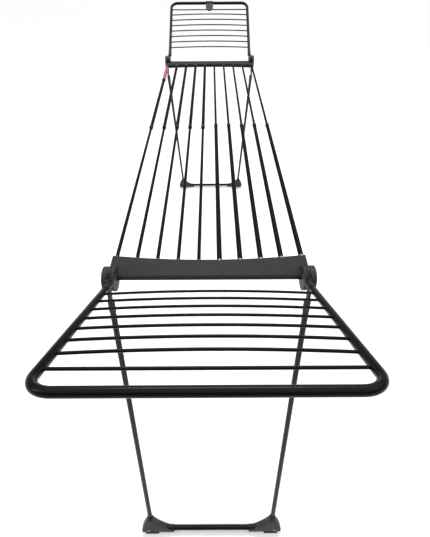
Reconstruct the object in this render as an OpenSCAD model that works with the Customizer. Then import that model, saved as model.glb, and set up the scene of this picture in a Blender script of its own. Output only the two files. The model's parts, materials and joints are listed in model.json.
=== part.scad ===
// Free-standing extending clothes airer: a telescopic bed of rods between two
// moulded bars, a folding wing at each end and a folding leg frame under each bar.
// Origin: middle of the footprint on the floor. +Y runs to the far end, +Z is up.

/* [Overall] */
// Distance between the two hinge stacks when extended (mm)
rack_length = 1750; // [1400:10:1900]
// Height of the hinge stack centres above the floor (mm)
hub_height = 1088.1; // [900:0.1:1200]

/* [Rods] */
// Number of rods in the bed
rod_count = 10; // [6:2:12]
// Spacing of the rods (mm)
rod_pitch = 54.4; // [40:0.1:60]
// Outside diameter of an outer tube (mm)
outer_d = 14; // [11:0.5:16]
// Wall of an outer tube (mm)
outer_wall = 0.6; // [0.5:0.1:1.5]
// Diameter of an inner rod (mm)
inner_d = 10; // [7:0.1:11]
// How far an outer tube runs past the middle (mm)
outer_overrun = 12; // [0:1:60]
// How much inner rod stays inside when extended (mm)
inner_overlap = 70; // [40:5:120]

/* [Bars] */
// Width of a bar between its hinge cheeks (mm)
bar_w = 462.6; // [400:0.1:500]
// Width of a bar across its ears (mm)
ear_w = 508; // [480:1:540]
// Thickness of a bar (mm)
bar_t = 16; // [15:1:26]
// Inner edge of a bar at its middle, in from the hinge centre (mm)
bar_in = 61; // [50:1:90]
// How much the inner edge is hollowed (mm)
bar_sag = 17; // [0:1:30]

/* [Hinges] */
// Diameter of a hinge disc (mm)
disc_d = 63; // [56:1:80]
// Diameter of the wing hub (mm)
wing_hub_d = 50; // [40:1:56]
// Diameter of a wing axle (mm)
axle_d = 10; // [6:0.5:12]
// Running clearance on a radius (mm)
running = 0.05; // [0.02:0.01:0.1]

/* [Wings] */
// Length of a wing from its axle to its end tube (mm)
wing_length = 451; // [300:0.1:480]
// Angle of a raised wing above level (degrees)
wing_raise = 29; // [0:1:60]
// Diameter of the wing tube (mm)
wing_tube_d = 16; // [14:0.5:20]
// Bend radius of a wing corner (mm)
wing_bend = 38; // [30:1:70]
// Number of cross rods in a wing
wing_rods = 8; // [4:1:10]
// Spacing of the cross rods (mm)
wing_pitch = 42.2; // [30:0.1:60]
// Diameter of a cross rod (mm)
wing_rod_d = 6; // [4:0.5:8]

/* [Legs] */
// Angle of a leg frame from upright (degrees)
splay = 18.3; // [8:0.1:25]
// Diameter of a leg tube (mm)
leg_d = 16; // [14:0.5:22]
// Diameter of a foot bar (mm)
foot_bar_d = 19; // [14:0.5:24]
// Half the spacing of the legs at the feet (mm)
leg_foot_x = 235; // [200:1:260]
// Height of the foot bar above the floor (mm)
foot_bar_h = 20; // [16:1:30]

/* [Hidden] */
$fn = 64;
eps = 0.01;

hub_y = rack_length / 2;
rod_drop = 2.2;
rod_z = hub_height - rod_drop;
outer_r = outer_d / 2;
bore_r = outer_r - outer_wall;
inner_r = inner_d / 2;
inner_wall = 0.5;
inner_end = -(inner_overlap - outer_overrun);
glide_l = 12;
glide_cap = 3;
tube_collar_r = outer_r + 1;
tube_collar_l = 16;
tube_collar_lip = 4;

// bars
bar_mid_y = hub_y - bar_in;
bar_tip_y = bar_mid_y - bar_sag;
bar_out_y = hub_y - 7.6;
bar_arc_r = (ear_w * ear_w / 4 + bar_sag * bar_sag) / (2 * bar_sag);
bar_arc_y = bar_mid_y - bar_arc_r;
ear_out_y = hub_y - 34;
ear_corner = 8;
rod_seat_y = hub_y - 37;
pocket_wall = 2.5;
pocket_w = rod_pitch - outer_d - 2 * pocket_wall;
pocket_y = hub_y - 41;
pocket_l = 24;
screw_head_r = 3.5;
screw_head_h = 2;
screw_slot_l = 4;
screw_slot_w = 1;
screw_y = hub_y - 21;
screw_xs = [-3.5 * rod_pitch, -1.5 * rod_pitch, 1.5 * rod_pitch, 3.5 * rod_pitch];
ferrule_in = 3;
ferrule_out = 3;
ferrule_t = 1.2;

// hinge stack, measured from the middle plane outwards
disc_r = disc_d / 2;
stack_gap = 0.5;
cheek_x0 = bar_w / 2;
cheek_x1 = cheek_x0 + 6.9;
wing_hub_x0 = cheek_x1 + stack_gap;
wing_hub_x1 = wing_hub_x0 + 9;
drum_x0 = wing_hub_x1 + stack_gap;
drum_x1 = drum_x0 + 12.5;
drum_wall = 2.5;
leg_hub_x0 = drum_x0 + drum_wall;
leg_hub_x1 = drum_x1 - drum_wall;
slot_gap = 0.4;
slot_l = 140;
groove_w = 1.2;
groove_depth = 1.4;
cheek_groove_x = cheek_x0 + 2.9;
drum_groove_xs = [drum_x0 + 3.4, drum_x0 + 7.6];
wing_tube_x = 236.8;
leg_top_x = (leg_hub_x0 + leg_hub_x1) / 2;
axle_r = axle_d / 2;
axle_head_r = 9;
axle_head_t = 2;
pin_head_r = 6;
pin_head_t = 1.2;
pin_inset = 1;

// wing axle and leg pivots, measured from the hinge stack's centre
wing_axle_up = 8.3;
wing_crank = -wing_axle_up * cos(wing_raise);
near_leg_drop = 23.5;
far_leg_drop = 46;
leg_line = 1125;
leg_pin_r = 4;
leg_hub_r = 11;
lobe_r = 14;
web_in_y = -18;
web_in_z = -25;
web_out_y = 25;
web_out_z = -19;
neck_h = 16;
wing_neck_h = 17;
web_top = -9.5;
web_inset = 1.5;
sleeve_t = 1;
wing_sleeve_from = 42;
wing_sleeve_to = 76;
leg_sleeve_from = 42;
leg_sleeve_to = 74;
tube_inset = 4;
weld = 2;

// wings
wing_r = wing_tube_d / 2;
wing_wall = 0.8;
wing_first = 53;

// clip on the far wing
clip_w = 44;
clip_reach = 65;
clip_r = wing_r + 3;
clip_plate_n = 3.2;
clip_plate_t = 3.2;
clip_hook_y = -58.5;
clip_hook_t = 2.5;
clip_hook_drop = 3;

// legs and feet
leg_r = leg_d / 2;
leg_wall = 0.9;
foot_y = hub_y + leg_line * sin(splay);
foot_half = 11;
foot_top_v = 62;
foot_sole_v = -10.5;
foot_outer_x = 272;
foot_inner_x = 147;
foot_tip_v = -5;
foot_tip_sole_v = -11.5;
bar_end_x = 222;
bar_sleeve_t = 1.2;
bar_sleeve_x1 = 190;
pad_x0 = 207;
pad_x1 = 259;
plug_r = 7.5;
plug_t = 1.2;
plug_proud = 0.8;
plug_x = 247;
plug_v = -2;
collar_l = 16;
collar_t = 2.5;
collar_gap = 0.2;
foot_bar_gap = 2;

// lock sleeve on the first rod
grip_r = 8.8;
grip_y0 = hub_y - 301;
grip_l = 200;
grip_stop_l = 14;
grip_stop_r = grip_r + 0.3;
grip_gap = 0.4;

plastic = [0.28, 0.28, 0.29];
black = [0.1, 0.1, 0.11];
grey_metal = [0.25, 0.25, 0.26];
rubber_black = [0.07, 0.07, 0.07];
steel = [0.6, 0.6, 0.62];
red = [0.72, 0.2, 0.25];

// ---------- placing ----------

// The near end is the far end turned half round.
module at_near() {
  rotate([0, 0, 180]) children();
}

module both_sides() {
  children();
  mirror([1, 0, 0]) children();
}

// Lays a cylinder along X from x0 to x1.
module rod_x(r, x0, x1) {
  translate([x0, 0, 0]) rotate([0, 90, 0]) cylinder(r = r, h = x1 - x0);
}

// Lays a cylinder along Y from y0 to y1.
module rod_y(r, y0, y1) {
  translate([0, y0, 0]) rotate([-90, 0, 0]) cylinder(r = r, h = y1 - y0);
}

module at_hinge() {
  translate([0, hub_y, hub_height]) children();
}

// Puts the wing's axle at the origin with Y running out along the wing.
module at_wing() {
  translate([0, hub_y, hub_height + wing_axle_up]) rotate([wing_raise, 0, 0]) children();
}

// The wing's tube lies a little below its axle.
module at_wing_tube() {
  at_wing() translate([0, 0, wing_crank]) children();
}

module at_leg(drop) {
  translate([0, hub_y + drop * tan(splay), hub_height - drop]) rotate([splay, 0, 0]) children();
}

module at_foot() {
  translate([0, foot_y, foot_bar_h]) rotate([splay, 0, 0]) children();
}

// X of the rod with index i, from the first on the left.
function rod_x_at(i) = (i - (rod_count - 1) / 2) * rod_pitch;

// Outside radius of the rod with index i where it enters the bar.
function tube_r_at(i) = i < rod_count / 2 ? outer_r : inner_r;

// Y of a bar's hollowed inner edge at x.
function bar_edge(x) = bar_arc_y + sqrt(bar_arc_r * bar_arc_r - x * x);

function leg_run(drop) = leg_line - drop / cos(splay);

function leg_tilt(drop) = atan((leg_top_x - leg_foot_x) / leg_run(drop));

// ---------- bars ----------

module bar_plan() {
  difference() {
    union() {
      translate([-bar_w / 2, bar_tip_y]) square([bar_w, bar_out_y - bar_tip_y]);
      translate([-ear_w / 2, bar_tip_y]) square([ear_w, ear_out_y - ear_corner - bar_tip_y]);
      translate([-ear_w / 2 + ear_corner, bar_mid_y]) square([ear_w - 2 * ear_corner, ear_out_y - bar_mid_y]);
      for (side = [-1, 1]) {
        translate([side * (ear_w / 2 - ear_corner), ear_out_y - ear_corner]) circle(r = ear_corner);
      }
    }
    translate([0, bar_arc_y]) circle(r = bar_arc_r, $fn = 720);
  }
}

module bar_solid() {
  translate([0, 0, rod_z - bar_t / 2]) linear_extrude(height = bar_t) bar_plan();
  translate([0, bar_out_y, rod_z]) rod_x(bar_t / 2, -bar_w / 2, bar_w / 2);
}

module rod_channels() {
  for (i = [0 : rod_count - 1]) {
    translate([rod_x_at(i), 0, rod_z]) rod_y(tube_r_at(i), bar_tip_y - 1, rod_seat_y);
  }
}

module bar_pockets() {
  for (i = [0 : rod_count - 2]) {
    translate([rod_x_at(i) + rod_pitch / 2 - pocket_w / 2, pocket_y, rod_z - bar_t / 2 + pocket_wall])
      cube([pocket_w, pocket_l, bar_t - 2 * pocket_wall]);
  }
}

module bar_half(z0) {
  difference() {
    intersection() {
      bar_solid();
      translate([-ear_w / 2, bar_tip_y, z0]) cube([ear_w, hub_y - bar_tip_y, bar_t / 2]);
    }
    rod_channels();
    bar_pockets();
    screw_heads();
  }
}

module screw_heads() {
  for (x = screw_xs) {
    translate([x, screw_y, rod_z - bar_t / 2 - eps]) cylinder(r = screw_head_r, h = screw_head_h + eps);
  }
}

module bar_cover() {
  color(plastic) bar_half(rod_z);
}

module bar_tray() {
  color(black) bar_half(rod_z - bar_t / 2);
}

module bar_screws() {
  color(steel) for (x = screw_xs) {
    translate([x, screw_y, rod_z - bar_t / 2]) difference() {
      cylinder(r = screw_head_r, h = screw_head_h);
      for (turn = [0, 90]) {
        rotate([0, 0, turn]) cube([screw_slot_l, screw_slot_w, screw_slot_w], center = true);
      }
    }
  }
}

// ---------- rods ----------

module outer_tubes() {
  color(grey_metal) for (i = [0 : rod_count / 2 - 1]) {
    translate([rod_x_at(i), 0, rod_z]) difference() {
      rod_y(outer_r, -outer_overrun, rod_seat_y);
      rod_y(bore_r, -outer_overrun - 1, rod_seat_y + 1);
    }
  }
}

module inner_rods() {
  color(grey_metal) for (i = [rod_count / 2 : rod_count - 1]) {
    translate([rod_x_at(i), 0, rod_z]) difference() {
      rod_y(inner_r, inner_end, rod_seat_y);
      rod_y(inner_r - inner_wall, inner_end - 1, rod_seat_y + 1);
    }
  }
}

module tube_collars() {
  color(black) for (i = [0 : rod_count / 2 - 1]) {
    translate([rod_x_at(i), 0, rod_z]) difference() {
      rod_y(tube_collar_r, -outer_overrun - tube_collar_lip, -outer_overrun + tube_collar_l);
      rod_y(outer_r, -outer_overrun, -outer_overrun + tube_collar_l + 1);
      rod_y(inner_r + running, -outer_overrun - tube_collar_lip - 1, 0);
    }
  }
}

module glides() {
  color(black) for (i = [rod_count / 2 : rod_count - 1]) {
    translate([rod_x_at(i), 0, rod_z]) difference() {
      rod_y(bore_r - running, inner_end - glide_cap, inner_end + glide_l);
      rod_y(inner_r, inner_end, inner_end + glide_l + 1);
    }
  }
}

module ferrules() {
  color(steel) difference() {
    for (i = [0 : rod_count - 1]) {
      edge = bar_edge(rod_x_at(i));
      translate([rod_x_at(i), 0, rod_z]) difference() {
        rod_y(tube_r_at(i) + ferrule_t, edge - ferrule_out, edge + ferrule_in);
        rod_y(tube_r_at(i), edge - ferrule_out - 1, edge + ferrule_in + 1);
      }
    }
    bar_solid();
  }
}

// ---------- hinge stack ----------

module grooved_disc(x0, x1, grooves) {
  difference() {
    rod_x(disc_r, x0, x1);
    for (x = grooves) {
      difference() {
        rod_x(disc_r + 1, x, x + groove_w);
        rod_x(disc_r - groove_depth, x - 1, x + groove_w + 1);
      }
    }
  }
}

// Lays a cylinder along the wing's axle from x0 to x1.
module on_axle(r, x0, x1) {
  translate([0, 0, wing_axle_up]) rod_x(r, x0, x1);
}

// The fixed inner disc, with a web below the wing hub that reaches to the drum.
module cheeks() {
  color(plastic) both_sides() at_hinge() difference() {
    union() {
      grooved_disc(cheek_x0, cheek_x1, [cheek_groove_x]);
      difference() {
        rod_x(disc_r - web_inset, cheek_x1 - eps, drum_x0);
        translate([cheek_x0, -disc_r, web_top]) cube([disc_r, disc_d, disc_d]);
        on_axle(wing_hub_d / 2 + stack_gap, cheek_x1 - weld, drum_x0 + weld);
      }
    }
    on_axle(axle_r, cheek_x0 - 1, cheek_x1 + 1);
  }
}

// The fixed outer disc with a hanging lobe, slotted below for the leg hub.
module drum(drop) {
  out = drop * tan(splay);
  slot_top = leg_hub_r + weld - drop;
  difference() {
    union() {
      grooved_disc(drum_x0, drum_x1, drum_groove_xs);
      translate([0, out, -drop]) rod_x(lobe_r, drum_x0, drum_x1);
      translate([drum_x0, 0, 0]) rotate([90, 0, 90]) linear_extrude(height = drum_x1 - drum_x0)
        polygon([
          [web_in_y, web_in_z],
          [out - lobe_r, -drop],
          [out + lobe_r, -drop],
          [web_out_y, web_out_z],
          [0, 0]
        ]);
    }
    translate([leg_hub_x0 - slot_gap, -slot_l / 2, slot_top - slot_l])
      cube([leg_hub_x1 - leg_hub_x0 + 2 * slot_gap, slot_l, slot_l]);
    on_axle(axle_r, drum_x0 - 1, drum_x1 + 1);
    translate([0, out, -drop]) rod_x(leg_pin_r, drum_x0 + pin_inset, drum_x1 + 1);
  }
}

module drums(drop) {
  color(plastic) both_sides() at_hinge() drum(drop);
}

module axles() {
  color(steel) both_sides() at_hinge() {
    on_axle(axle_r, cheek_x0, drum_x1);
    on_axle(axle_head_r, drum_x1, drum_x1 + axle_head_t);
  }
}

module leg_pins(drop) {
  color(steel) both_sides() at_hinge() translate([0, drop * tan(splay), -drop]) {
    rod_x(leg_pin_r, drum_x0 + pin_inset, drum_x1);
    rod_x(pin_head_r, drum_x1, drum_x1 + pin_head_t);
  }
}

// ---------- wings ----------

// The bent path of a wing tube, drawn at radius r; extra lengthens its open ends.
module wing_path(r, extra) {
  bend_y = wing_length - wing_bend;
  both_sides() {
    translate([wing_tube_x, 0, 0]) rod_y(r, wing_sleeve_from + tube_inset - extra, bend_y);
    translate([wing_tube_x - wing_bend, bend_y, 0])
      rotate_extrude(angle = 90) translate([wing_bend, 0]) circle(r = r);
  }
  translate([0, wing_length, 0]) rod_x(r, -(wing_tube_x - wing_bend), wing_tube_x - wing_bend);
}

module wing_tube() {
  color(black) at_wing_tube() difference() {
    wing_path(wing_r, 0);
    wing_path(wing_r - wing_wall, 1);
  }
}

module wing_cross_rods() {
  color(black) at_wing_tube() difference() {
    for (i = [0 : wing_rods - 1]) {
      translate([0, wing_length - wing_first - i * wing_pitch, 0])
        rod_x(wing_rod_d / 2, -wing_tube_x, wing_tube_x);
    }
    both_sides() translate([wing_tube_x, 0, 0]) rod_y(wing_r, 0, wing_length);
  }
}

module wing_hubs() {
  color(plastic) both_sides() difference() {
    union() {
      at_wing() rod_x(wing_hub_d / 2, wing_hub_x0, wing_hub_x1);
      at_wing_tube() translate([wing_hub_x0, 0, -wing_neck_h / 2])
        cube([wing_hub_x1 - wing_hub_x0, wing_sleeve_from + weld, wing_neck_h]);
      at_wing_tube() translate([wing_tube_x, 0, 0])
        rod_y(wing_r + sleeve_t, wing_sleeve_from, wing_sleeve_to);
    }
    at_wing() rod_x(axle_r + running, wing_hub_x0 - 1, wing_hub_x1 + 1);
    at_wing_tube() translate([wing_tube_x, 0, 0])
      rod_y(wing_r, wing_sleeve_from + tube_inset, wing_sleeve_to + 1);
  }
}

// The clip turns on the end tube and hooks over the first cross rod.
module wing_clip() {
  color(black) at_wing_tube() translate([0, wing_length, 0]) difference() {
    union() {
      rod_x(clip_r, -clip_w / 2, clip_w / 2);
      translate([-clip_w / 2, -clip_reach + clip_w / 2, clip_plate_n])
        cube([clip_w, clip_reach - clip_w / 2, clip_plate_t]);
      translate([0, -clip_reach + clip_w / 2, clip_plate_n]) cylinder(r = clip_w / 2, h = clip_plate_t);
      translate([-clip_w / 4, clip_hook_y - clip_hook_t, -clip_hook_drop])
        cube([clip_w / 2, clip_hook_t, clip_hook_drop + clip_plate_n + eps]);
    }
    rod_x(wing_r + running, -clip_w, clip_w);
  }
}

// ---------- legs ----------

// Runs a cylinder down a leg between two distances from its pivot.
module down_leg(drop, r, d0, d1) {
  translate([leg_top_x, 0, 0]) rotate([0, leg_tilt(drop), 0])
    translate([0, 0, -d1]) cylinder(r = r, h = d1 - d0);
}

module leg_hubs(drop) {
  color(plastic) both_sides() at_leg(drop) difference() {
    union() {
      rod_x(leg_hub_r, leg_hub_x0, leg_hub_x1);
      translate([leg_hub_x0, -neck_h / 2, -leg_sleeve_from - weld])
        cube([leg_hub_x1 - leg_hub_x0, neck_h, leg_sleeve_from + weld]);
      down_leg(drop, leg_r + sleeve_t, leg_sleeve_from, leg_sleeve_to);
    }
    rod_x(leg_pin_r + running, leg_hub_x0 - 1, leg_hub_x1 + 1);
    down_leg(drop, leg_r, leg_sleeve_from + tube_inset, leg_sleeve_to + 1);
  }
}

module leg_tubes(drop) {
  run = leg_run(drop);
  color(grey_metal) both_sides() at_leg(drop) difference() {
    down_leg(drop, leg_r, leg_sleeve_from + tube_inset, run - foot_bar_d / 2 - foot_bar_gap);
    down_leg(drop, leg_r - leg_wall, leg_sleeve_from, run);
  }
}

module leg_collars(drop) {
  run = leg_run(drop);
  color(black) both_sides() at_leg(drop) difference() {
    down_leg(drop, leg_r + collar_t, run - foot_top_v - collar_l, run - foot_top_v - collar_gap);
    down_leg(drop, leg_r, run - foot_top_v - collar_l - 1, run - foot_top_v + 1);
  }
}

module foot_bar() {
  color(black) at_foot() difference() {
    rod_x(foot_bar_d / 2, -bar_end_x, bar_end_x);
    rod_x(foot_bar_d / 2 - leg_wall, -bar_end_x - 1, bar_end_x + 1);
  }
}

// The dark sleeve round the foot bar where it enters a foot.
module foot_sleeves() {
  color(black) both_sides() at_foot() difference() {
    rod_x(foot_bar_d / 2 + bar_sleeve_t, foot_inner_x, bar_sleeve_x1);
    rod_x(foot_bar_d / 2, foot_inner_x - 1, bar_sleeve_x1 + 1);
  }
}

// Outline of a foot across the airer: X outwards, Y up along the leg frame.
module foot_plan() {
  polygon([
    [foot_inner_x, foot_tip_sole_v],
    [foot_inner_x, foot_tip_v],
    [foot_inner_x + 30, 10],
    [leg_foot_x - 30, 33],
    [leg_foot_x - 11, foot_top_v - 6],
    [leg_foot_x - 9, foot_top_v],
    [leg_foot_x + 12, foot_top_v],
    [leg_foot_x + 19, foot_top_v - 12],
    [leg_foot_x + 27, 34],
    [leg_foot_x + 33, 16],
    [foot_outer_x, 2],
    [foot_outer_x, foot_sole_v],
    [pad_x0 - 12, foot_sole_v],
    [pad_x0 - 14, foot_tip_sole_v]
  ]);
}

module feet(drop) {
  run = leg_run(drop);
  color(plastic) both_sides() difference() {
    at_foot() rotate([90, 0, 0]) linear_extrude(height = 2 * foot_half, center = true) foot_plan();
    at_leg(drop) down_leg(drop, leg_r, run - foot_top_v - collar_l, run - foot_bar_d / 2 - foot_bar_gap);
    at_foot() rod_x(foot_bar_d / 2 + bar_sleeve_t, foot_inner_x - 1, bar_sleeve_x1);
    at_foot() rod_x(foot_bar_d / 2, foot_inner_x, bar_end_x);
    at_foot() translate([plug_x, foot_half, plug_v]) rod_y(plug_r, -plug_t, 1);
  }
}

module foot_pads() {
  sole = -foot_bar_h / cos(splay);
  slope = tan(splay);
  color(rubber_black) both_sides() at_foot() translate([pad_x0, 0, 0]) rotate([90, 0, 90])
    linear_extrude(height = pad_x1 - pad_x0)
      polygon([
        [-foot_half, foot_sole_v],
        [foot_half, foot_sole_v],
        [foot_half, sole - foot_half * slope],
        [-foot_half, sole + foot_half * slope]
      ]);
}

module foot_plugs() {
  color(red) both_sides() at_foot() translate([plug_x, foot_half, plug_v]) rod_y(plug_r, -plug_t, plug_proud);
}

// ---------- lock grip ----------

module at_grip() {
  translate([rod_x_at(0), 0, rod_z]) children();
}

module lock_grip() {
  color(red) at_grip() difference() {
    rod_y(grip_r, grip_y0, grip_y0 + grip_l);
    rod_y(outer_r + running, grip_y0 - 1, grip_y0 + grip_l + 1);
  }
}

module grip_stop() {
  color(black) at_grip() difference() {
    rod_y(grip_stop_r, grip_y0 - grip_stop_l - grip_gap, grip_y0 - grip_gap);
    rod_y(outer_r, grip_y0 - grip_stop_l - 1, grip_y0 + 1);
  }
}

// ---------- drawing ----------

at_near() bar_cover();  // near_bar_cover
at_near() bar_tray();  // near_bar_tray
at_near() bar_screws();  // near_bar_screws
at_near() cheeks();  // near_cheeks
at_near() drums(near_leg_drop);  // near_drums
at_near() axles();  // near_axles
at_near() leg_pins(near_leg_drop);  // near_leg_pins
at_near() outer_tubes();  // near_outer_tubes
at_near() inner_rods();  // near_inner_rods
at_near() tube_collars();  // near_tube_collars
at_near() glides();  // near_glides
at_near() ferrules();  // near_ferrules
bar_cover();  // far_bar_cover
bar_tray();  // far_bar_tray
bar_screws();  // far_bar_screws
cheeks();  // far_cheeks
drums(far_leg_drop);  // far_drums
axles();  // far_axles
leg_pins(far_leg_drop);  // far_leg_pins
outer_tubes();  // far_outer_tubes
inner_rods();  // far_inner_rods
tube_collars();  // far_tube_collars
glides();  // far_glides
ferrules();  // far_ferrules
grip_stop();
lock_grip();
at_near() wing_tube();  // near_wing_tube
at_near() wing_cross_rods();  // near_wing_rods
at_near() wing_hubs();  // near_wing_hubs
wing_tube();  // far_wing_tube
wing_cross_rods();  // far_wing_rods
wing_hubs();  // far_wing_hubs
wing_clip();
at_near() leg_hubs(near_leg_drop);  // near_leg_hubs
at_near() leg_tubes(near_leg_drop);  // near_leg_tubes
at_near() leg_collars(near_leg_drop);  // near_leg_collars
at_near() foot_bar();  // near_foot_bar
at_near() foot_sleeves();  // near_foot_sleeves
at_near() feet(near_leg_drop);  // near_feet
at_near() foot_pads();  // near_foot_pads
at_near() foot_plugs();  // near_foot_plugs
leg_hubs(far_leg_drop);  // far_leg_hubs
leg_tubes(far_leg_drop);  // far_leg_tubes
leg_collars(far_leg_drop);  // far_leg_collars
foot_bar();  // far_foot_bar
foot_sleeves();  // far_foot_sleeves
feet(far_leg_drop);  // far_feet
foot_pads();  // far_foot_pads
foot_plugs();  // far_foot_plugs
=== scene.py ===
"""A free-standing extending clothes airer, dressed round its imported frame.

The bed of telescopic rods, the two end wings and the two leg frames keep the places that the
frame gives. This script draws the same pieces with rounded edges, bowed cross rods and finishes.
"""

import json
import logging
import math
from dataclasses import dataclass, field
from enum import Enum
from typing import Mapping, Sequence

import bmesh
import bpy
from mathutils import Matrix, Vector

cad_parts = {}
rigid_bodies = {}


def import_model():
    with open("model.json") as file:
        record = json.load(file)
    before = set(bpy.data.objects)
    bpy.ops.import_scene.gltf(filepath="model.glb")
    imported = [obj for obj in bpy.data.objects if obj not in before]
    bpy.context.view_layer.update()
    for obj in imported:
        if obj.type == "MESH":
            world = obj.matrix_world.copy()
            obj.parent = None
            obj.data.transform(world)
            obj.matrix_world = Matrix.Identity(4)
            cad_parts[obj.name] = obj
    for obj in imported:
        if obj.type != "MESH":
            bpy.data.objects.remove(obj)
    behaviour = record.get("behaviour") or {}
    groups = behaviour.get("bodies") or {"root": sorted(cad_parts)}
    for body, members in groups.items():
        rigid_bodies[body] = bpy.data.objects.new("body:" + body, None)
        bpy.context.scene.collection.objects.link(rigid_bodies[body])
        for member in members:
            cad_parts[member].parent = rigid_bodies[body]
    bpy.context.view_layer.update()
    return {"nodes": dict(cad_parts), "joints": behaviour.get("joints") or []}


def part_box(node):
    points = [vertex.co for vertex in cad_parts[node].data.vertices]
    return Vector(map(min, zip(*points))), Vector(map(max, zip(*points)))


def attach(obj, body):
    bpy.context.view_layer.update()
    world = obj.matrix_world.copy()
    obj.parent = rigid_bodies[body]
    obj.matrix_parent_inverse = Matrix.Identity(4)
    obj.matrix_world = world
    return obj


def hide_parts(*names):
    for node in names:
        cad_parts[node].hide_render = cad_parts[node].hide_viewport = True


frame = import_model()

LOG = logging.getLogger("airer")
MM = 0.001
# Edges sharper than this are shaded crisp.
SMOOTH_ANGLE = math.radians(40)
# Edges sharper than this are rounded.
ROUND_ANGLE = math.radians(38)
# Corners as close as this are one corner.
WELD_MM = 0.004
# Faces turned by less than this are one flat face.
FLAT_ANGLE = math.radians(0.6)
# Flats round a tube and round a cross rod.
TUBE_SIDES = 32
ROD_SIDES = 16
# Steps along a bend and along a bowed rod.
BEND_STEPS = 14
BOW_STEPS = 24


class End(Enum):
    """The two ends of the airer, named as their frame nodes are."""

    NEAR = "near"
    FAR = "far"

    @property
    def frame_body(self) -> str:
        """Body that carries this end's bar, hinges and rods."""
        return f"{self.value}_frame"

    @property
    def wing_body(self) -> str:
        """Body of this end's wing."""
        return f"{self.value}_wing"

    @property
    def leg_body(self) -> str:
        """Body of this end's leg frame."""
        return f"{self.value}_leg"

    def node(self, name: str) -> str:
        """Name of this end's frame node."""
        return f"{self.value}_{name}"


class Socket(Enum):
    """Kinds of input that a node tree of this script takes."""

    GEOMETRY = "NodeSocketGeometry"
    LENGTH = "NodeSocketFloat"
    COUNT = "NodeSocketInt"
    VECTOR = "NodeSocketVector"
    MATERIAL = "NodeSocketMaterial"


def linear(colour: str) -> tuple[float, float, float, float]:
    """Turns an sRGB hex colour to linear.

    Args:
        colour: Six hex digits, with or without a leading hash.

    Returns:
        Linear red, green, blue and an alpha of 1.
    """
    digits = colour.lstrip("#")
    levels = []
    for i in (0, 2, 4):
        level = int(digits[i : i + 2], 16) / 255
        # The sRGB curve: straight near black, a power above.
        levels.append(level / 12.92 if level <= 0.04045 else ((level + 0.055) / 1.055) ** 2.4)
    return (*levels, 1.0)


def add_node(
    tree: bpy.types.NodeTree,
    kind: str,
    links: Mapping[str | int, bpy.types.NodeSocket] | None = None,
    values: Mapping[str | int, object] | None = None,
    **settings: object,
) -> bpy.types.Node:
    """Adds one node with its settings, input values and incoming links.

    Args:
        tree: Node tree that gets the node.
        kind: Type name of the node.
        links: Input name or index to the output socket that feeds it.
        values: Input name or index to a fixed value.
        **settings: Properties of the node itself.

    Returns:
        The new node.
    """
    node = tree.nodes.new(kind)
    for name, value in settings.items():
        setattr(node, name, value)
    for key, value in (values or {}).items():
        node.inputs[key].default_value = value
    for key, source in (links or {}).items():
        tree.links.new(source, node.inputs[key])
    return node


# ---------------------------------------------------------------- finishes


def noise(
    tree: bpy.types.NodeTree, place: bpy.types.NodeSocket, patch_mm: float, detail: int
) -> bpy.types.NodeSocket:
    """Adds a noise from 0 to 1 over a surface.

    Args:
        tree: The material's node tree.
        place: Object coordinates in metres.
        patch_mm: Width of a patch.
        detail: How many finer layers it has.

    Returns:
        The output that holds the noise.
    """
    node = add_node(
        tree,
        "ShaderNodeTexNoise",
        links={"Vector": place},
        values={"Scale": 1 / (patch_mm * MM), "Detail": detail},
    )
    return node.outputs["Fac"]


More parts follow.
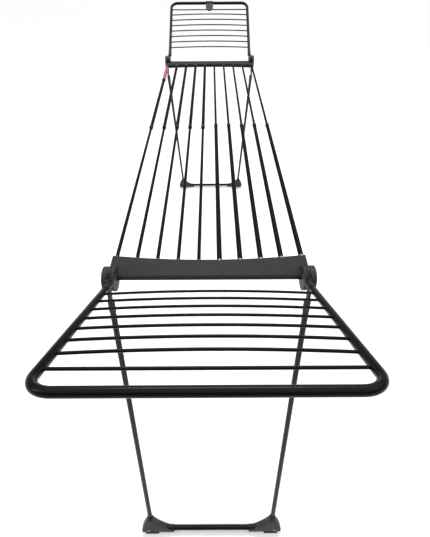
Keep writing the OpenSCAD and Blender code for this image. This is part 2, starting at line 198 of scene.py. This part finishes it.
@dataclass(frozen=True)
class Finish:
    """A procedural finish on Object coordinates.

    Each kind of finish sets its own patch and grain widths in real millimetres.
    """

    name: str
    colour: str
    lighter: str
    roughness: float
    slot: str
    gloss: float = 0.35
    ior: float = 1.5
    patch_mm: float = 60.0
    gloss_patch_mm: float = 35.0
    gloss_spread: float = 0.05
    grain_mm: float = 2.2
    grain_depth_mm: float = 0.12
    grain_strength: float = 0.35

    def material(self) -> bpy.types.Material:
        """Makes this finish's material on first use.

        Returns:
            The one material that all its pieces share.
        """
        found = bpy.data.materials.get(self.name)
        if found:
            return found
        made = bpy.data.materials.new(self.name)
        made.use_nodes = True
        tree = made.node_tree
        tree.nodes.clear()
        shader = add_node(tree, "ShaderNodeBsdfPrincipled", values={"Specular IOR Level": self.gloss})
        add_node(tree, "ShaderNodeOutputMaterial", links={"Surface": shader.outputs["BSDF"]})
        place = add_node(tree, "ShaderNodeTexCoord").outputs["Object"]
        self.dress(tree, shader, place)
        return made

    def dress(self, tree: bpy.types.NodeTree, shader: bpy.types.Node, place: bpy.types.NodeSocket) -> None:
        """Sets up the surface of a moulded or coated finish.

        Args:
            tree: The material's node tree.
            shader: Its Principled shader.
            place: Object coordinates in metres.
        """
        shader.inputs["IOR"].default_value = self.ior
        self.tint(tree, shader, place)
        self.vary_gloss(tree, shader, place)
        self.grain(tree, shader, place)

    def tint(self, tree: bpy.types.NodeTree, shader: bpy.types.Node, place: bpy.types.NodeSocket) -> None:
        """Varies the colour softly over patches.

        Args:
            tree: The material's node tree.
            shader: Its Principled shader.
            place: Object coordinates in metres.
        """
        # Inputs 6 and 7 are the two colours, and output 2 is their mix.
        mix = add_node(
            tree,
            "ShaderNodeMix",
            links={0: noise(tree, place, self.patch_mm, detail=3)},
            values={6: linear(self.colour), 7: linear(self.lighter)},
            data_type="RGBA",
        )
        tree.links.new(mix.outputs[2], shader.inputs["Base Color"])

    def vary_gloss(
        self, tree: bpy.types.NodeTree, shader: bpy.types.Node, place: bpy.types.NodeSocket
    ) -> None:
        """Varies the roughness a little, as handling and moulding do.

        Args:
            tree: The material's node tree.
            shader: Its Principled shader.
            place: Object coordinates in metres.
        """
        span = add_node(
            tree,
            "ShaderNodeMapRange",
            links={"Value": noise(tree, place, self.gloss_patch_mm, detail=2)},
            values={
                "To Min": self.roughness - self.gloss_spread,
                "To Max": self.roughness + self.gloss_spread,
            },
        )
        tree.links.new(span.outputs["Result"], shader.inputs["Roughness"])

    def grain(self, tree: bpy.types.NodeTree, shader: bpy.types.Node, place: bpy.types.NodeSocket) -> None:
        """Raises a fine grain as bump.

        Args:
            tree: The material's node tree.
            shader: Its Principled shader.
            place: Object coordinates in metres.
        """
        bump = add_node(
            tree,
            "ShaderNodeBump",
            links={"Height": noise(tree, place, self.grain_mm, detail=2)},
            values={"Strength": self.grain_strength, "Distance": self.grain_depth_mm * MM},
        )
        tree.links.new(bump.outputs["Normal"], shader.inputs["Normal"])


@dataclass(frozen=True)
class MouldedPolypropylene(Finish):
    """Injection moulded polypropylene from an etched mould: satin, with an even fine grain.

    The real grain is about 0.4 mm, too fine to show, so it is drawn several times as coarse.
    """

    ior: float = 1.49


@dataclass(frozen=True)
class PowderCoat(Finish):
    """Baked powder coat on steel tube: an even colour with a low orange peel that breaks up highlights."""

    patch_mm: float = 90.0
    gloss_patch_mm: float = 50.0
    gloss_spread: float = 0.04
    grain_mm: float = 3.0
    grain_depth_mm: float = 0.06
    grain_strength: float = 0.25


@dataclass(frozen=True)
class SoftTouchSleeve(Finish):
    """Soft red elastomer over a tube: a clear colour, low gloss and a faint sheen at the edges."""

    ior: float = 1.48
    sheen: float = 0.15
    patch_mm: float = 25.0
    gloss_patch_mm: float = 20.0
    gloss_spread: float = 0.06
    grain_mm: float = 1.6
    grain_depth_mm: float = 0.08
    grain_strength: float = 0.3

    def dress(self, tree: bpy.types.NodeTree, shader: bpy.types.Node, place: bpy.types.NodeSocket) -> None:
        """Sets up the surface and its sheen.

        Args:
            tree: The material's node tree.
            shader: Its Principled shader.
            place: Object coordinates in metres.
        """
        super().dress(tree, shader, place)
        shader.inputs["Sheen Weight"].default_value = self.sheen


@dataclass(frozen=True)
class MouldedRubber(Finish):
    """Black moulded rubber of a foot pad: matt, a little dusty, with a coarse grain."""

    ior: float = 1.52
    patch_mm: float = 12.0
    gloss_patch_mm: float = 10.0
    grain_mm: float = 1.5
    grain_depth_mm: float = 0.15
    grain_strength: float = 0.5


@dataclass(frozen=True)
class ZincPlate(Finish):
    """Zinc plated steel: a dull bright metal, slightly cloudy from the bath, too smooth for a grain."""

    patch_mm: float = 8.0
    gloss_patch_mm: float = 6.0
    gloss_spread: float = 0.08

    def dress(self, tree: bpy.types.NodeTree, shader: bpy.types.Node, place: bpy.types.NodeSocket) -> None:
        """Sets up a metal surface, which keeps the shader's own index of refraction.

        Args:
            tree: The material's node tree.
            shader: Its Principled shader.
            place: Object coordinates in metres.
        """
        shader.inputs["Metallic"].default_value = 1.0
        self.tint(tree, shader, place)
        self.vary_gloss(tree, shader, place)


# Hinge discs, leg hubs and feet.
GREY_PLASTIC = MouldedPolypropylene(
    "moulded_polypropylene_grey", "#303032", "#38383a", 0.5, "grey_plastic", gloss=0.16
)
# Covers of the two bars.
COVER_PLASTIC = MouldedPolypropylene(
    "moulded_polypropylene_matt_grey", "#252527", "#2c2c2f", 0.54, "grey_plastic", gloss=0.08
)
# Hubs and sockets of the wings.
DARK_PLASTIC = MouldedPolypropylene(
    "moulded_polypropylene_dark", "#161617", "#1d1d1e", 0.5, "grey_plastic", gloss=0.22
)
# Trays, collars, sleeves, glides and the clip.
BLACK_PLASTIC = MouldedPolypropylene(
    "moulded_polypropylene_black", "#080808", "#0d0d0d", 0.44, "black_plastic", gloss=0.2
)
# Leg tubes, then wings and foot bars, then the rods of the bed.
GREY_TUBE = PowderCoat("powder_coat_graphite", "#171718", "#1e1e1f", 0.42, "grey_tube", gloss=0.22)
BLACK_TUBE = PowderCoat("powder_coat_black", "#040404", "#070707", 0.28, "black_tube", gloss=0.12)
ROD_COAT = PowderCoat("powder_coat_black_satin", "#030303", "#080808", 0.42, "black_tube", gloss=0.04)
RED_SLEEVE = SoftTouchSleeve("elastomer_sleeve_red", "#8a3542", "#9c4a56", 0.5, "red_grip")
RED_PLUG = SoftTouchSleeve("moulded_plug_red", "#8a2632", "#9c4a56", 0.42, "red_plug")
PAD_RUBBER = MouldedRubber("moulded_rubber_black", "#171717", "#222222", 0.75, "foot_rubber")
PIN_STEEL = ZincPlate("zinc_plated_steel", "#9c9da0", "#b9babc", 0.35, "pin_steel")
FERRULE_STEEL = ZincPlate("zinc_plated_ferrule", "#7c7d80", "#919296", 0.62, "ferrule_steel")


# ---------------------------------------------------------------- making pieces


def new_piece(name: str, mesh: bpy.types.Mesh, finish: Finish) -> bpy.types.Object:
    """Puts a mesh in the scene as a piece in one finish.

    Args:
        name: Name of the piece.
        mesh: Its mesh, in place.
        finish: Finish that covers it.

    Returns:
        The new object at the origin.
    """
    piece = bpy.data.objects.new(name, mesh)
    bpy.context.scene.collection.objects.link(piece)
    mesh.materials.clear()
    mesh.materials.append(finish.material())
    return piece


def settle(piece: bpy.types.Object, place: Matrix | None = None) -> None:
    """Turns a piece's live modifiers into a plain mesh with its place applied.

    Args:
        piece: Piece with modifiers.
        place: Where its mesh goes in the frame.
    """
    evaluated = piece.evaluated_get(bpy.context.evaluated_depsgraph_get())
    mesh = bpy.data.meshes.new_from_object(evaluated)
    mesh.name = piece.name
    piece.modifiers.clear()
    if place is not None:
        mesh.transform(place)
    piece.data = mesh


def stand_for(piece: bpy.types.Object, body: str, finish: Finish, *nodes: str) -> None:
    """Rides a piece on its body in place of its frame nodes, and reports it.

    Args:
        piece: Finished piece.
        body: Body that it moves with.
        finish: Finish of the piece; not used.
        *nodes: Frame nodes that it stands for.
    """
    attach(piece, body)
    if nodes:
        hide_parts(*nodes)
    LOG.info("%s: %d faces on %s", piece.name, len(piece.data.polygons), body)


@dataclass
class RoundedPart:
    """A copy of a frame node with its edges rounded as a mould or a tumbler rounds them."""

    node: str
    body: str
    finish: Finish
    round_mm: float = 1.0
    segments: int = 3

    def build(self) -> bpy.types.Object:
        """Makes the rounded copy.

        Returns:
            The piece, riding on its body in place of the node.
        """
        source = frame["nodes"][self.node]
        mesh = source.data.copy()
        shape = bmesh.new()
        shape.from_mesh(mesh)
        bmesh.ops.remove_doubles(shape, verts=shape.verts, dist=WELD_MM * MM)
        bmesh.ops.dissolve_limit(
            shape, angle_limit=FLAT_ANGLE, verts=shape.verts, edges=shape.edges, delimit=set()
        )
        shape.to_mesh(mesh)
        shape.free()
        piece = new_piece(f"{self.node}_rounded", mesh, self.finish)
        bevel = piece.modifiers.new("rounded edges", "BEVEL")
        bevel.width = self.round_mm * MM
        bevel.segments = self.segments
        bevel.limit_method = "ANGLE"
        bevel.angle_limit = ROUND_ANGLE
        bevel.use_clamp_overlap = True
        bevel.miter_outer = "MITER_ARC"
        settle(piece)
        piece.data.shade_smooth()
        piece.data.set_sharp_from_angle(angle=SMOOTH_ANGLE)
        stand_for(piece, self.body, self.finish, self.node)
        return piece


class TreeMaker:
    """Builds one geometry node tree with named inputs, and puts it on pieces."""

    def __init__(self, name: str, inputs: dict[str, Socket]) -> None:
        """Starts the tree.

        Args:
            name: Name of the tree.
            inputs: Input name to its kind, after the geometry.
        """
        self.tree = bpy.data.node_groups.new(name, "GeometryNodeTree")
        face = self.tree.interface
        face.new_socket("Geometry", in_out="OUTPUT", socket_type=Socket.GEOMETRY.value)
        face.new_socket("Geometry", in_out="INPUT", socket_type=Socket.GEOMETRY.value)
        self.ids = {
            label: face.new_socket(label, in_out="INPUT", socket_type=kind.value).identifier
            for label, kind in inputs.items()
        }
        self.start = self.add("NodeGroupInput").outputs

    def add(
        self,
        kind: str,
        links: Mapping[str | int, bpy.types.NodeSocket] | None = None,
        values: Mapping[str | int, object] | None = None,
        **settings: object,
    ) -> bpy.types.Node:
        """Adds a node to this tree.

        Args:
            kind: Type name of the node.
            links: Input name or index to the output socket that feeds it.
            values: Input name or index to a fixed value.
            **settings: Properties of the node itself.

        Returns:
            The new node.
        """
        return add_node(self.tree, kind, links, values, **settings)

    def finish(self, geometry: bpy.types.NodeSocket) -> None:
        """Ends the tree in Realize Instances, smooth shading and the material.

        Args:
            geometry: Output that holds the shape.
        """
        real = self.add("GeometryNodeRealizeInstances", links={"Geometry": geometry})
        shaded = self.add("GeometryNodeSetShadeSmooth", links={"Geometry": real.outputs[0]})
        dressed = self.add(
            "GeometryNodeSetMaterial",
            links={"Geometry": shaded.outputs[0], "Material": self.start["Material"]},
        )
        self.add("NodeGroupOutput", links={0: dressed.outputs[0]})

    def apply(
        self, piece: bpy.types.Object, values: Mapping[str, object], place: Matrix | None = None
    ) -> None:
        """Runs the tree on a piece and keeps the result as its plain mesh.

        Args:
            piece: Piece that gives the input geometry.
            values: Input name to its value.
            place: Where the result goes in the frame.
        """
        live = piece.modifiers.new(self.tree.name, "NODES")
        live.node_group = self.tree
        for label, value in values.items():
            live[self.ids[label]] = value
        settle(piece, place)


def swept_tube_tree() -> TreeMaker:
    """Makes the tree that sweeps a round tube along each polyline, with bent corners.

    Returns:
        The tree, with inputs Bend, Radius, Sides and Material.
    """
    maker = TreeMaker(
        "swept tube",
        {
            "Bend": Socket.LENGTH,
            "Radius": Socket.LENGTH,
            "Sides": Socket.COUNT,
            "Material": Socket.MATERIAL,
        },
    )
    path = maker.add("GeometryNodeMeshToCurve", links={"Mesh": maker.start["Geometry"]})
    bent = maker.add(
        "GeometryNodeFilletCurve",
        links={"Curve": path.outputs[0], "Radius": maker.start["Bend"]},
        values={"Count": BEND_STEPS},
        mode="POLY",
    )
    ring = maker.add(
        "GeometryNodeCurvePrimitiveCircle",
        links={"Resolution": maker.start["Sides"], "Radius": maker.start["Radius"]},
    )
    tube = maker.add(
        "GeometryNodeCurveToMesh",
        links={"Curve": bent.outputs[0], "Profile Curve": ring.outputs[0]},
        values={"Fill Caps": True},
    )
    maker.finish(tube.outputs[0])
    return maker


def bowed_rods_tree() -> TreeMaker:
    """Makes the tree that repeats a bowed cross rod along a wing.

    Returns:
        The tree, with inputs Count, Pitch, First, Left, Crown, Right, Radius and Material.
    """
    maker = TreeMaker(
        "bowed cross rods",
        {
            "Count": Socket.COUNT,
            "Pitch": Socket.VECTOR,
            "First": Socket.VECTOR,
            "Left": Socket.VECTOR,
            "Crown": Socket.VECTOR,
            "Right": Socket.VECTOR,
            "Radius": Socket.LENGTH,
            "Material": Socket.MATERIAL,
        },
    )
    line = maker.add(
        "GeometryNodeMeshLine",
        links={
            "Count": maker.start["Count"],
            "Start Location": maker.start["First"],
            "Offset": maker.start["Pitch"],
        },
        mode="OFFSET",
    )
    bow = maker.add(
        "GeometryNodeCurveQuadraticBezier",
        links={"Start": maker.start["Left"], "Middle": maker.start["Crown"], "End": maker.start["Right"]},
        values={"Resolution": BOW_STEPS},
    )
    ring = maker.add(
        "GeometryNodeCurvePrimitiveCircle",
        links={"Radius": maker.start["Radius"]},
        values={"Resolution": ROD_SIDES},
    )
    rod = maker.add(
        "GeometryNodeCurveToMesh",
        links={"Curve": bow.outputs[0], "Profile Curve": ring.outputs[0]},
        values={"Fill Caps": True},
    )
    rods = maker.add(
        "GeometryNodeInstanceOnPoints", links={"Points": line.outputs[0], "Instance": rod.outputs[0]}
    )
    maker.finish(rods.outputs[0])
    return maker


@dataclass
class Workshop:
    """The node trees that the sub-assemblies share."""

    tubes: TreeMaker = field(default_factory=swept_tube_tree)
    cross_rods: TreeMaker = field(default_factory=bowed_rods_tree)

    def sweep(
        self,
        name: str,
        lines: Sequence[Sequence[Vector]],
        radius: float,
        finish: Finish,
        bend: float = 0.0,
        sides: int = TUBE_SIDES,
        place: Matrix | None = None,
    ) -> bpy.types.Object:
        """Sweeps tubes along polylines.

        Args:
            name: Name of the piece.
            lines: Polylines, each a list of points in metres.
            radius: Outside radius of the tube.
            finish: Finish of the tube.
            bend: Bend radius at each corner.
            sides: Flats round the tube.
            place: Where the piece goes in the frame.

        Returns:
            The piece as a plain mesh.
        """
        points: list[Vector] = []
        edges: list[tuple[int, int]] = []
        for line in lines:
            first = len(points)
            points.extend(line)
            edges.extend((first + i, first + i + 1) for i in range(len(line) - 1))
        mesh = bpy.data.meshes.new(name)
        mesh.from_pydata(points, edges, [])
        piece = new_piece(name, mesh, finish)
        self.tubes.apply(
            piece,
            {"Bend": bend, "Radius": radius, "Sides": sides, "Material": finish.material()},
            place,
        )
        piece.data.set_sharp_from_angle(angle=SMOOTH_ANGLE)
        return piece


def joint(name: str) -> dict[str, object]:
    """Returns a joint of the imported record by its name."""
    return next(j for j in frame["joints"] if j["name"] == name)


# ---------------------------------------------------------------- the object


@dataclass
class RodBed:
    """One end's rods: thick outer tubes on its own side and thin rods on the other."""

    end: End
    shop: Workshop
    rods_a_side: int = 5
    outer_d_mm: float = 14.0
    inner_d_mm: float = 10.0
    collar_round_mm: float = 0.8
    ferrule_round_mm: float = 0.3

    def columns(self, node: str) -> list[float]:
        """Spreads the rods of a frame node evenly over its box.

        Args:
            node: Name of the frame node without its end.

        Returns:
            The X of each rod's middle.
        """
        low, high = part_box(self.end.node(node))
        radius = (high[2] - low[2]) / 2
        first = low[0] + radius
        step = (high[0] - radius - first) / (self.rods_a_side - 1)
        return [first + i * step for i in range(self.rods_a_side)]

    def straight(self, node: str, diameter_mm: float) -> None:
        """Draws the rods of one frame node as swept tubes.

        Args:
            node: Name of the frame node without its end.
            diameter_mm: Diameter of a rod.
        """
        low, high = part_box(self.end.node(node))
        z = (low[2] + high[2]) / 2
        lines = [[Vector((x, low[1], z)), Vector((x, high[1], z))] for x in self.columns(node)]
        piece = self.shop.sweep(f"{self.end.value}_{node}_coated", lines, diameter_mm / 2 * MM, ROD_COAT)
        stand_for(piece, self.end.frame_body, ROD_COAT, self.end.node(node))

    def build(self) -> None:
        """Builds the tubes, rods, collars, glides and the ferrules where rods enter the bar."""
        self.straight("outer_tubes", self.outer_d_mm)
        self.straight("inner_rods", self.inner_d_mm)
        body = self.end.frame_body
        RoundedPart(self.end.node("tube_collars"), body, BLACK_PLASTIC, self.collar_round_mm).build()
        glides = frame["nodes"][self.end.node("glides")].data
        glides.materials.clear()
        glides.materials.append(BLACK_PLASTIC.material())
        RoundedPart(self.end.node("ferrules"), body, FERRULE_STEEL, self.ferrule_round_mm, segments=2).build()


@dataclass
class MouldedBar:
    """One end's crossbar: a grey cover on a black tray, held by screws from below."""

    end: End
    cover_round_mm: float = 1.6
    tray_round_mm: float = 1.2
    screw_round_mm: float = 0.25

    def build(self) -> None:
        """Builds the cover, the tray and the screws."""
        body = self.end.frame_body
        RoundedPart(self.end.node("bar_cover"), body, COVER_PLASTIC, self.cover_round_mm, segments=4).build()
        RoundedPart(self.end.node("bar_tray"), body, BLACK_PLASTIC, self.tray_round_mm).build()
        RoundedPart(self.end.node("bar_screws"), body, PIN_STEEL, self.screw_round_mm, segments=2).build()


@dataclass
class HingeStack:
    """One end's pair of hinge stacks: cheeks, outer drums, axles and leg pins."""

    end: End
    disc_round_mm: float = 0.9
    axle_round_mm: float = 0.7
    pin_round_mm: float = 0.5

    def build(self) -> None:
        """Builds the discs, the axles and the pins."""
        body = self.end.frame_body
        RoundedPart(self.end.node("cheeks"), body, GREY_PLASTIC, self.disc_round_mm).build()
        RoundedPart(self.end.node("drums"), body, GREY_PLASTIC, self.disc_round_mm).build()
        RoundedPart(self.end.node("axles"), body, PIN_STEEL, self.axle_round_mm).build()
        RoundedPart(self.end.node("leg_pins"), body, PIN_STEEL, self.pin_round_mm).build()


@dataclass
class Wing:
    """One end's wing: a bent tube with bowed cross rods, turning on a pair of hubs."""

    end: End
    shop: Workshop
    tube_d_mm: float = 16.0
    bend_mm: float = 38.0
    rods: int = 8
    rod_d_mm: float = 6.0
    rod_pitch_mm: float = 42.2
    first_rod_mm: float = 53.0
    bow_mm: float = 6.0
    rod_inset_mm: float = 1.0
    socket_mm: float = 46.0
    half_spacing_mm: float = 236.8
    hub_round_mm: float = 1.0

    @property
    def rise(self) -> Matrix:
        """Turn that raises a level wing to its rest angle; the near wing's fold ends where it is level."""
        return Matrix.Rotation(math.radians(joint("near_wing_fold")["range_deg"][1]), 4, "X")

    @property
    def end_tube(self) -> Vector:
        """Middle of the end tube from the axle, Y along the wing; the far wing's clip turns about it."""
        axle = Vector(joint("far_wing_fold")["pos_m"])
        return self.rise.inverted() @ (Vector(joint("clip_turn")["pos_m"]) - axle)

    def place(self) -> Matrix:
        """Finds where the wing's tube goes.

        Returns:
            A place whose Y runs out along the wing, level with the middle of the tube.
        """
        pivot = Vector(joint(f"{self.end.value}_wing_fold")["pos_m"])
        turn = Matrix.Rotation(0 if self.end is End.FAR else math.pi, 4, "Z")
        return Matrix.Translation(pivot) @ turn @ self.rise @ Matrix.Translation((0, 0, self.end_tube.z))

    def tube(self) -> None:
        """Draws the bent tube, from one socket round to the other."""
        x = self.half_spacing_mm * MM
        y0 = self.socket_mm * MM
        y1 = self.end_tube.y
        path = [Vector((-x, y0, 0)), Vector((-x, y1, 0)), Vector((x, y1, 0)), Vector((x, y0, 0))]
        piece = self.shop.sweep(
            f"{self.end.value}_wing_tube_coated",
            [path],
            self.tube_d_mm / 2 * MM,
            BLACK_TUBE,
            bend=self.bend_mm * MM,
            place=self.place(),
        )
        stand_for(piece, self.end.wing_body, BLACK_TUBE, self.end.node("wing_tube"))

    def cross_rods(self) -> None:
        """Draws the straight outermost cross rod and the bowed ones inside it."""
        inside = (self.half_spacing_mm - self.tube_d_mm / 2 + self.rod_inset_mm) * MM
        first = self.end_tube.y - self.first_rod_mm * MM
        straight = self.shop.sweep(
            f"{self.end.value}_wing_first_rod",
            [[Vector((-inside, first, 0)), Vector((inside, first, 0))]],
            self.rod_d_mm / 2 * MM,
            BLACK_TUBE,
            sides=ROD_SIDES,
            place=self.place(),
        )
        stand_for(straight, self.end.wing_body, BLACK_TUBE)
        piece = new_piece(f"{self.end.value}_wing_rods_bowed", bpy.data.meshes.new("rods"), BLACK_TUBE)
        # The curve's middle point stands twice as high as its crown.
        self.shop.cross_rods.apply(
            piece,
            {
                "Count": self.rods - 1,
                "First": (0, first - self.rod_pitch_mm * MM, 0),
                "Pitch": (0, -self.rod_pitch_mm * MM, 0),
                "Left": (-inside, 0, 0),
                "Crown": (0, 0, 2 * self.bow_mm * MM),
                "Right": (inside, 0, 0),
                "Radius": self.rod_d_mm / 2 * MM,
                "Material": BLACK_TUBE.material(),
            },
            self.place(),
        )
        piece.data.set_sharp_from_angle(angle=SMOOTH_ANGLE)
        stand_for(piece, self.end.wing_body, BLACK_TUBE, self.end.node("wing_rods"))

    def build(self) -> None:
        """Builds the tube, the cross rods and the hubs."""
        self.tube()
        self.cross_rods()
        body = self.end.wing_body
        RoundedPart(self.end.node("wing_hubs"), body, DARK_PLASTIC, self.hub_round_mm).build()


@dataclass
class LegFrame:
    """One end's leg frame: hubs, two tubes, collars, a foot bar in sleeves, feet, pads and plugs."""

    end: End
    shop: Workshop
    tube_d_mm: float = 16.0
    bar_d_mm: float = 19.0
    socket_mm: float = 46.0
    foot_x_mm: float = 235.0
    bar_gap_mm: float = 2.0
    hub_round_mm: float = 0.9
    collar_round_mm: float = 0.8
    sleeve_round_mm: float = 0.5
    foot_round_mm: float = 2.4
    pad_round_mm: float = 1.5
    plug_round_mm: float = 0.4

    def tubes(self) -> None:
        """Draws the two leg tubes from the ends of their frame node's box."""
        _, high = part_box(self.end.node("leg_tubes"))
        radius = self.tube_d_mm / 2 * MM
        pivot = Vector(joint(f"{self.end.value}_leg_fold")["pos_m"])
        foot_low, foot_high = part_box(self.end.node("foot_bar"))
        foot = (Vector(foot_low) + Vector(foot_high)) / 2
        run = foot - pivot
        run.x = 0
        down = run.normalized()
        top_x = high[0] - radius
        lines = []
        for side in (-1, 1):
            top = Vector((side * top_x, pivot.y, pivot.z)) + down * self.socket_mm * MM
            above_bar = down * (self.bar_d_mm / 2 + self.bar_gap_mm) * MM
            bottom = Vector((side * self.foot_x_mm * MM, foot.y, foot.z)) - above_bar
            lines.append([top, bottom])
        piece = self.shop.sweep(f"{self.end.value}_leg_tubes_coated", lines, radius, GREY_TUBE)
        stand_for(piece, self.end.leg_body, GREY_TUBE, self.end.node("leg_tubes"))

    def foot_bar(self) -> None:
        """Draws the bar between the feet."""
        low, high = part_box(self.end.node("foot_bar"))
        y = (low[1] + high[1]) / 2
        z = (low[2] + high[2]) / 2
        line = [Vector((low[0], y, z)), Vector((high[0], y, z))]
        radius = self.bar_d_mm / 2 * MM
        piece = self.shop.sweep(f"{self.end.value}_foot_bar_coated", [line], radius, BLACK_TUBE)
        stand_for(piece, self.end.leg_body, BLACK_TUBE, self.end.node("foot_bar"))

    def build(self) -> None:
        """Builds every piece of the leg frame."""
        body = self.end.leg_body
        self.tubes()
        self.foot_bar()
        RoundedPart(self.end.node("leg_hubs"), body, GREY_PLASTIC, self.hub_round_mm).build()
        RoundedPart(self.end.node("leg_collars"), body, BLACK_PLASTIC, self.collar_round_mm).build()
        RoundedPart(self.end.node("foot_sleeves"), body, BLACK_PLASTIC, self.sleeve_round_mm).build()
        RoundedPart(self.end.node("feet"), body, GREY_PLASTIC, self.foot_round_mm, segments=4).build()
        RoundedPart(self.end.node("foot_pads"), body, PAD_RUBBER, self.pad_round_mm).build()
        RoundedPart(self.end.node("foot_plugs"), body, RED_PLUG, self.plug_round_mm, segments=2).build()


@dataclass
class LockGrip:
    """The red sleeve that turns on the first rod, and the fixed collar below it."""

    sleeve_round_mm: float = 0.6
    collar_round_mm: float = 0.8

    def build(self) -> None:
        """Builds the sleeve and its collar."""
        RoundedPart("lock_grip", "lock_grip", RED_SLEEVE, self.sleeve_round_mm).build()
        RoundedPart("grip_stop", End.FAR.frame_body, BLACK_PLASTIC, self.collar_round_mm).build()


@dataclass
class WingClip:
    """The clip that turns on the far wing's end tube and hooks over its first cross rod."""

    round_mm: float = 0.8

    def build(self) -> None:
        """Builds the clip."""
        RoundedPart("wing_clip", "wing_clip", BLACK_PLASTIC, self.round_mm).build()


@dataclass
class Airer:
    """The whole airer."""

    shop: Workshop

    def build(self) -> None:
        """Builds each sub-assembly in order."""
        for end in End:
            RodBed(end, self.shop).build()
            MouldedBar(end).build()
            HingeStack(end).build()
            Wing(end, self.shop).build()
            LegFrame(end, self.shop).build()
        LockGrip().build()
        WingClip().build()


# ---------------------------------------------------------------- studio


@dataclass(frozen=True)
class SoftLamp:
    """A rectangular lamp that faces a point; sizes in metres."""

    name: str
    place: tuple[float, float, float]
    aim: tuple[float, float, float]
    width: float
    depth: float
    watts: float

    def hang(self) -> None:
        """Puts the lamp in the scene."""
        data = bpy.data.lights.new(self.name, "AREA")
        data.shape = "RECTANGLE"
        data.size, data.size_y = self.width, self.depth
        data.energy = self.watts
        lamp = bpy.data.objects.new(self.name, data)
        lamp.location = self.place
        lamp.rotation_euler = (Vector(self.aim) - Vector(self.place)).to_track_quat("-Z", "Y").to_euler()
        bpy.context.scene.collection.objects.link(lamp)


@dataclass(frozen=True)
class Camera:
    """The camera above and in front of the near end, looking down along the bed; angles in radians."""

    eye: tuple[float, float, float] = (0.0072, -1.4751, 1.7398)
    tilt: float = 0.7965
    turn: float = -0.0009
    roll: float = 0.0059
    lens_mm: float = 23.77
    sensor_mm: float = 36.0
    shift: tuple[float, float] = (0.0062, -0.0016)
    sight: float = 100.0

    def place(self) -> None:
        """Sets the camera in the scene."""
        data = bpy.data.cameras.new("camera")
        data.lens = self.lens_mm
        data.sensor_width = self.sensor_mm
        data.shift_x, data.shift_y = self.shift
        data.clip_end = self.sight
        level = Vector((math.cos(self.turn), -math.sin(self.turn), 0))
        forward = Vector((math.sin(self.turn), math.cos(self.turn), 0))
        ahead = forward * math.cos(self.tilt) - Vector((0, 0, math.sin(self.tilt)))
        below = ahead.cross(level)
        right = level * math.cos(self.roll) + below * math.sin(self.roll)
        up = right.cross(ahead)
        camera = bpy.data.objects.new("camera", data)
        camera.matrix_world = Matrix((right, up, -ahead)).transposed().to_4x4()
        camera.location = self.eye
        bpy.context.scene.collection.objects.link(camera)
        bpy.context.scene.camera = camera


@dataclass(frozen=True)
class Studio:
    """Plain pale floor, soft light and the camera; sizes in metres."""

    camera: Camera = Camera()
    floor_size: float = 40.0
    floor_colour: str = "#f4f4f4"
    floor_roughness: float = 0.9
    floor_gloss: float = 0.1
    surround: float = 0.3
    overhead: float = 2.6
    overhead_width_deg: float = 110.0
    overhead_lean_deg: tuple[float, float] = (-12.0, 8.0)
    lamps: tuple[SoftLamp, ...] = (
        SoftLamp("left", (-3.0, -1.5, 3.0), (0, -0.2, 0.9), 1.2, 1.2, 25.0),
        SoftLamp("behind", (0.0, 1.6, 4.2), (0, -1.2, 1.2), 2.6, 0.45, 110.0),
    )

    def floor(self) -> None:
        """Lays the pale floor."""
        mesh = bpy.data.meshes.new("floor")
        half = self.floor_size / 2
        corners = [(-half, -half, 0), (half, -half, 0), (half, half, 0), (-half, half, 0)]
        mesh.from_pydata(corners, [], [(0, 1, 2, 3)])
        floor = bpy.data.objects.new("floor", mesh)
        bpy.context.scene.collection.objects.link(floor)
        paint = bpy.data.materials.new("pale_floor")
        paint.use_nodes = True
        shader = paint.node_tree.nodes["Principled BSDF"]
        shader.inputs["Base Color"].default_value = linear(self.floor_colour)
        shader.inputs["Roughness"].default_value = self.floor_roughness
        shader.inputs["Specular IOR Level"].default_value = self.floor_gloss
        mesh.materials.append(paint)

    def even_light(self) -> None:
        """Sets a dim white surround and one very wide light from overhead."""
        world = bpy.data.worlds.new("surround")
        world.use_nodes = True
        background = world.node_tree.nodes["Background"]
        background.inputs["Color"].default_value = (1, 1, 1, 1)
        background.inputs["Strength"].default_value = self.surround
        bpy.context.scene.world = world
        data = bpy.data.lights.new("overhead", "SUN")
        data.energy = self.overhead
        data.angle = math.radians(self.overhead_width_deg)
        light = bpy.data.objects.new("overhead", data)
        lean_x, lean_y = self.overhead_lean_deg
        light.rotation_euler = (math.radians(lean_x), math.radians(lean_y), 0)
        bpy.context.scene.collection.objects.link(light)

    def build(self) -> None:
        """Sets camera, floor, light and a plain view transform."""
        self.camera.place()
        self.floor()
        self.even_light()
        for lamp in self.lamps:
            lamp.hang()
        bpy.context.scene.view_settings.view_transform = "Standard"


def main() -> None:
    """Builds the studio and the airer."""
    logging.basicConfig(level=logging.INFO, format="%(name)s %(message)s")
    Studio().build()
    Airer(Workshop()).build()


if __name__ == "__main__":
    main()
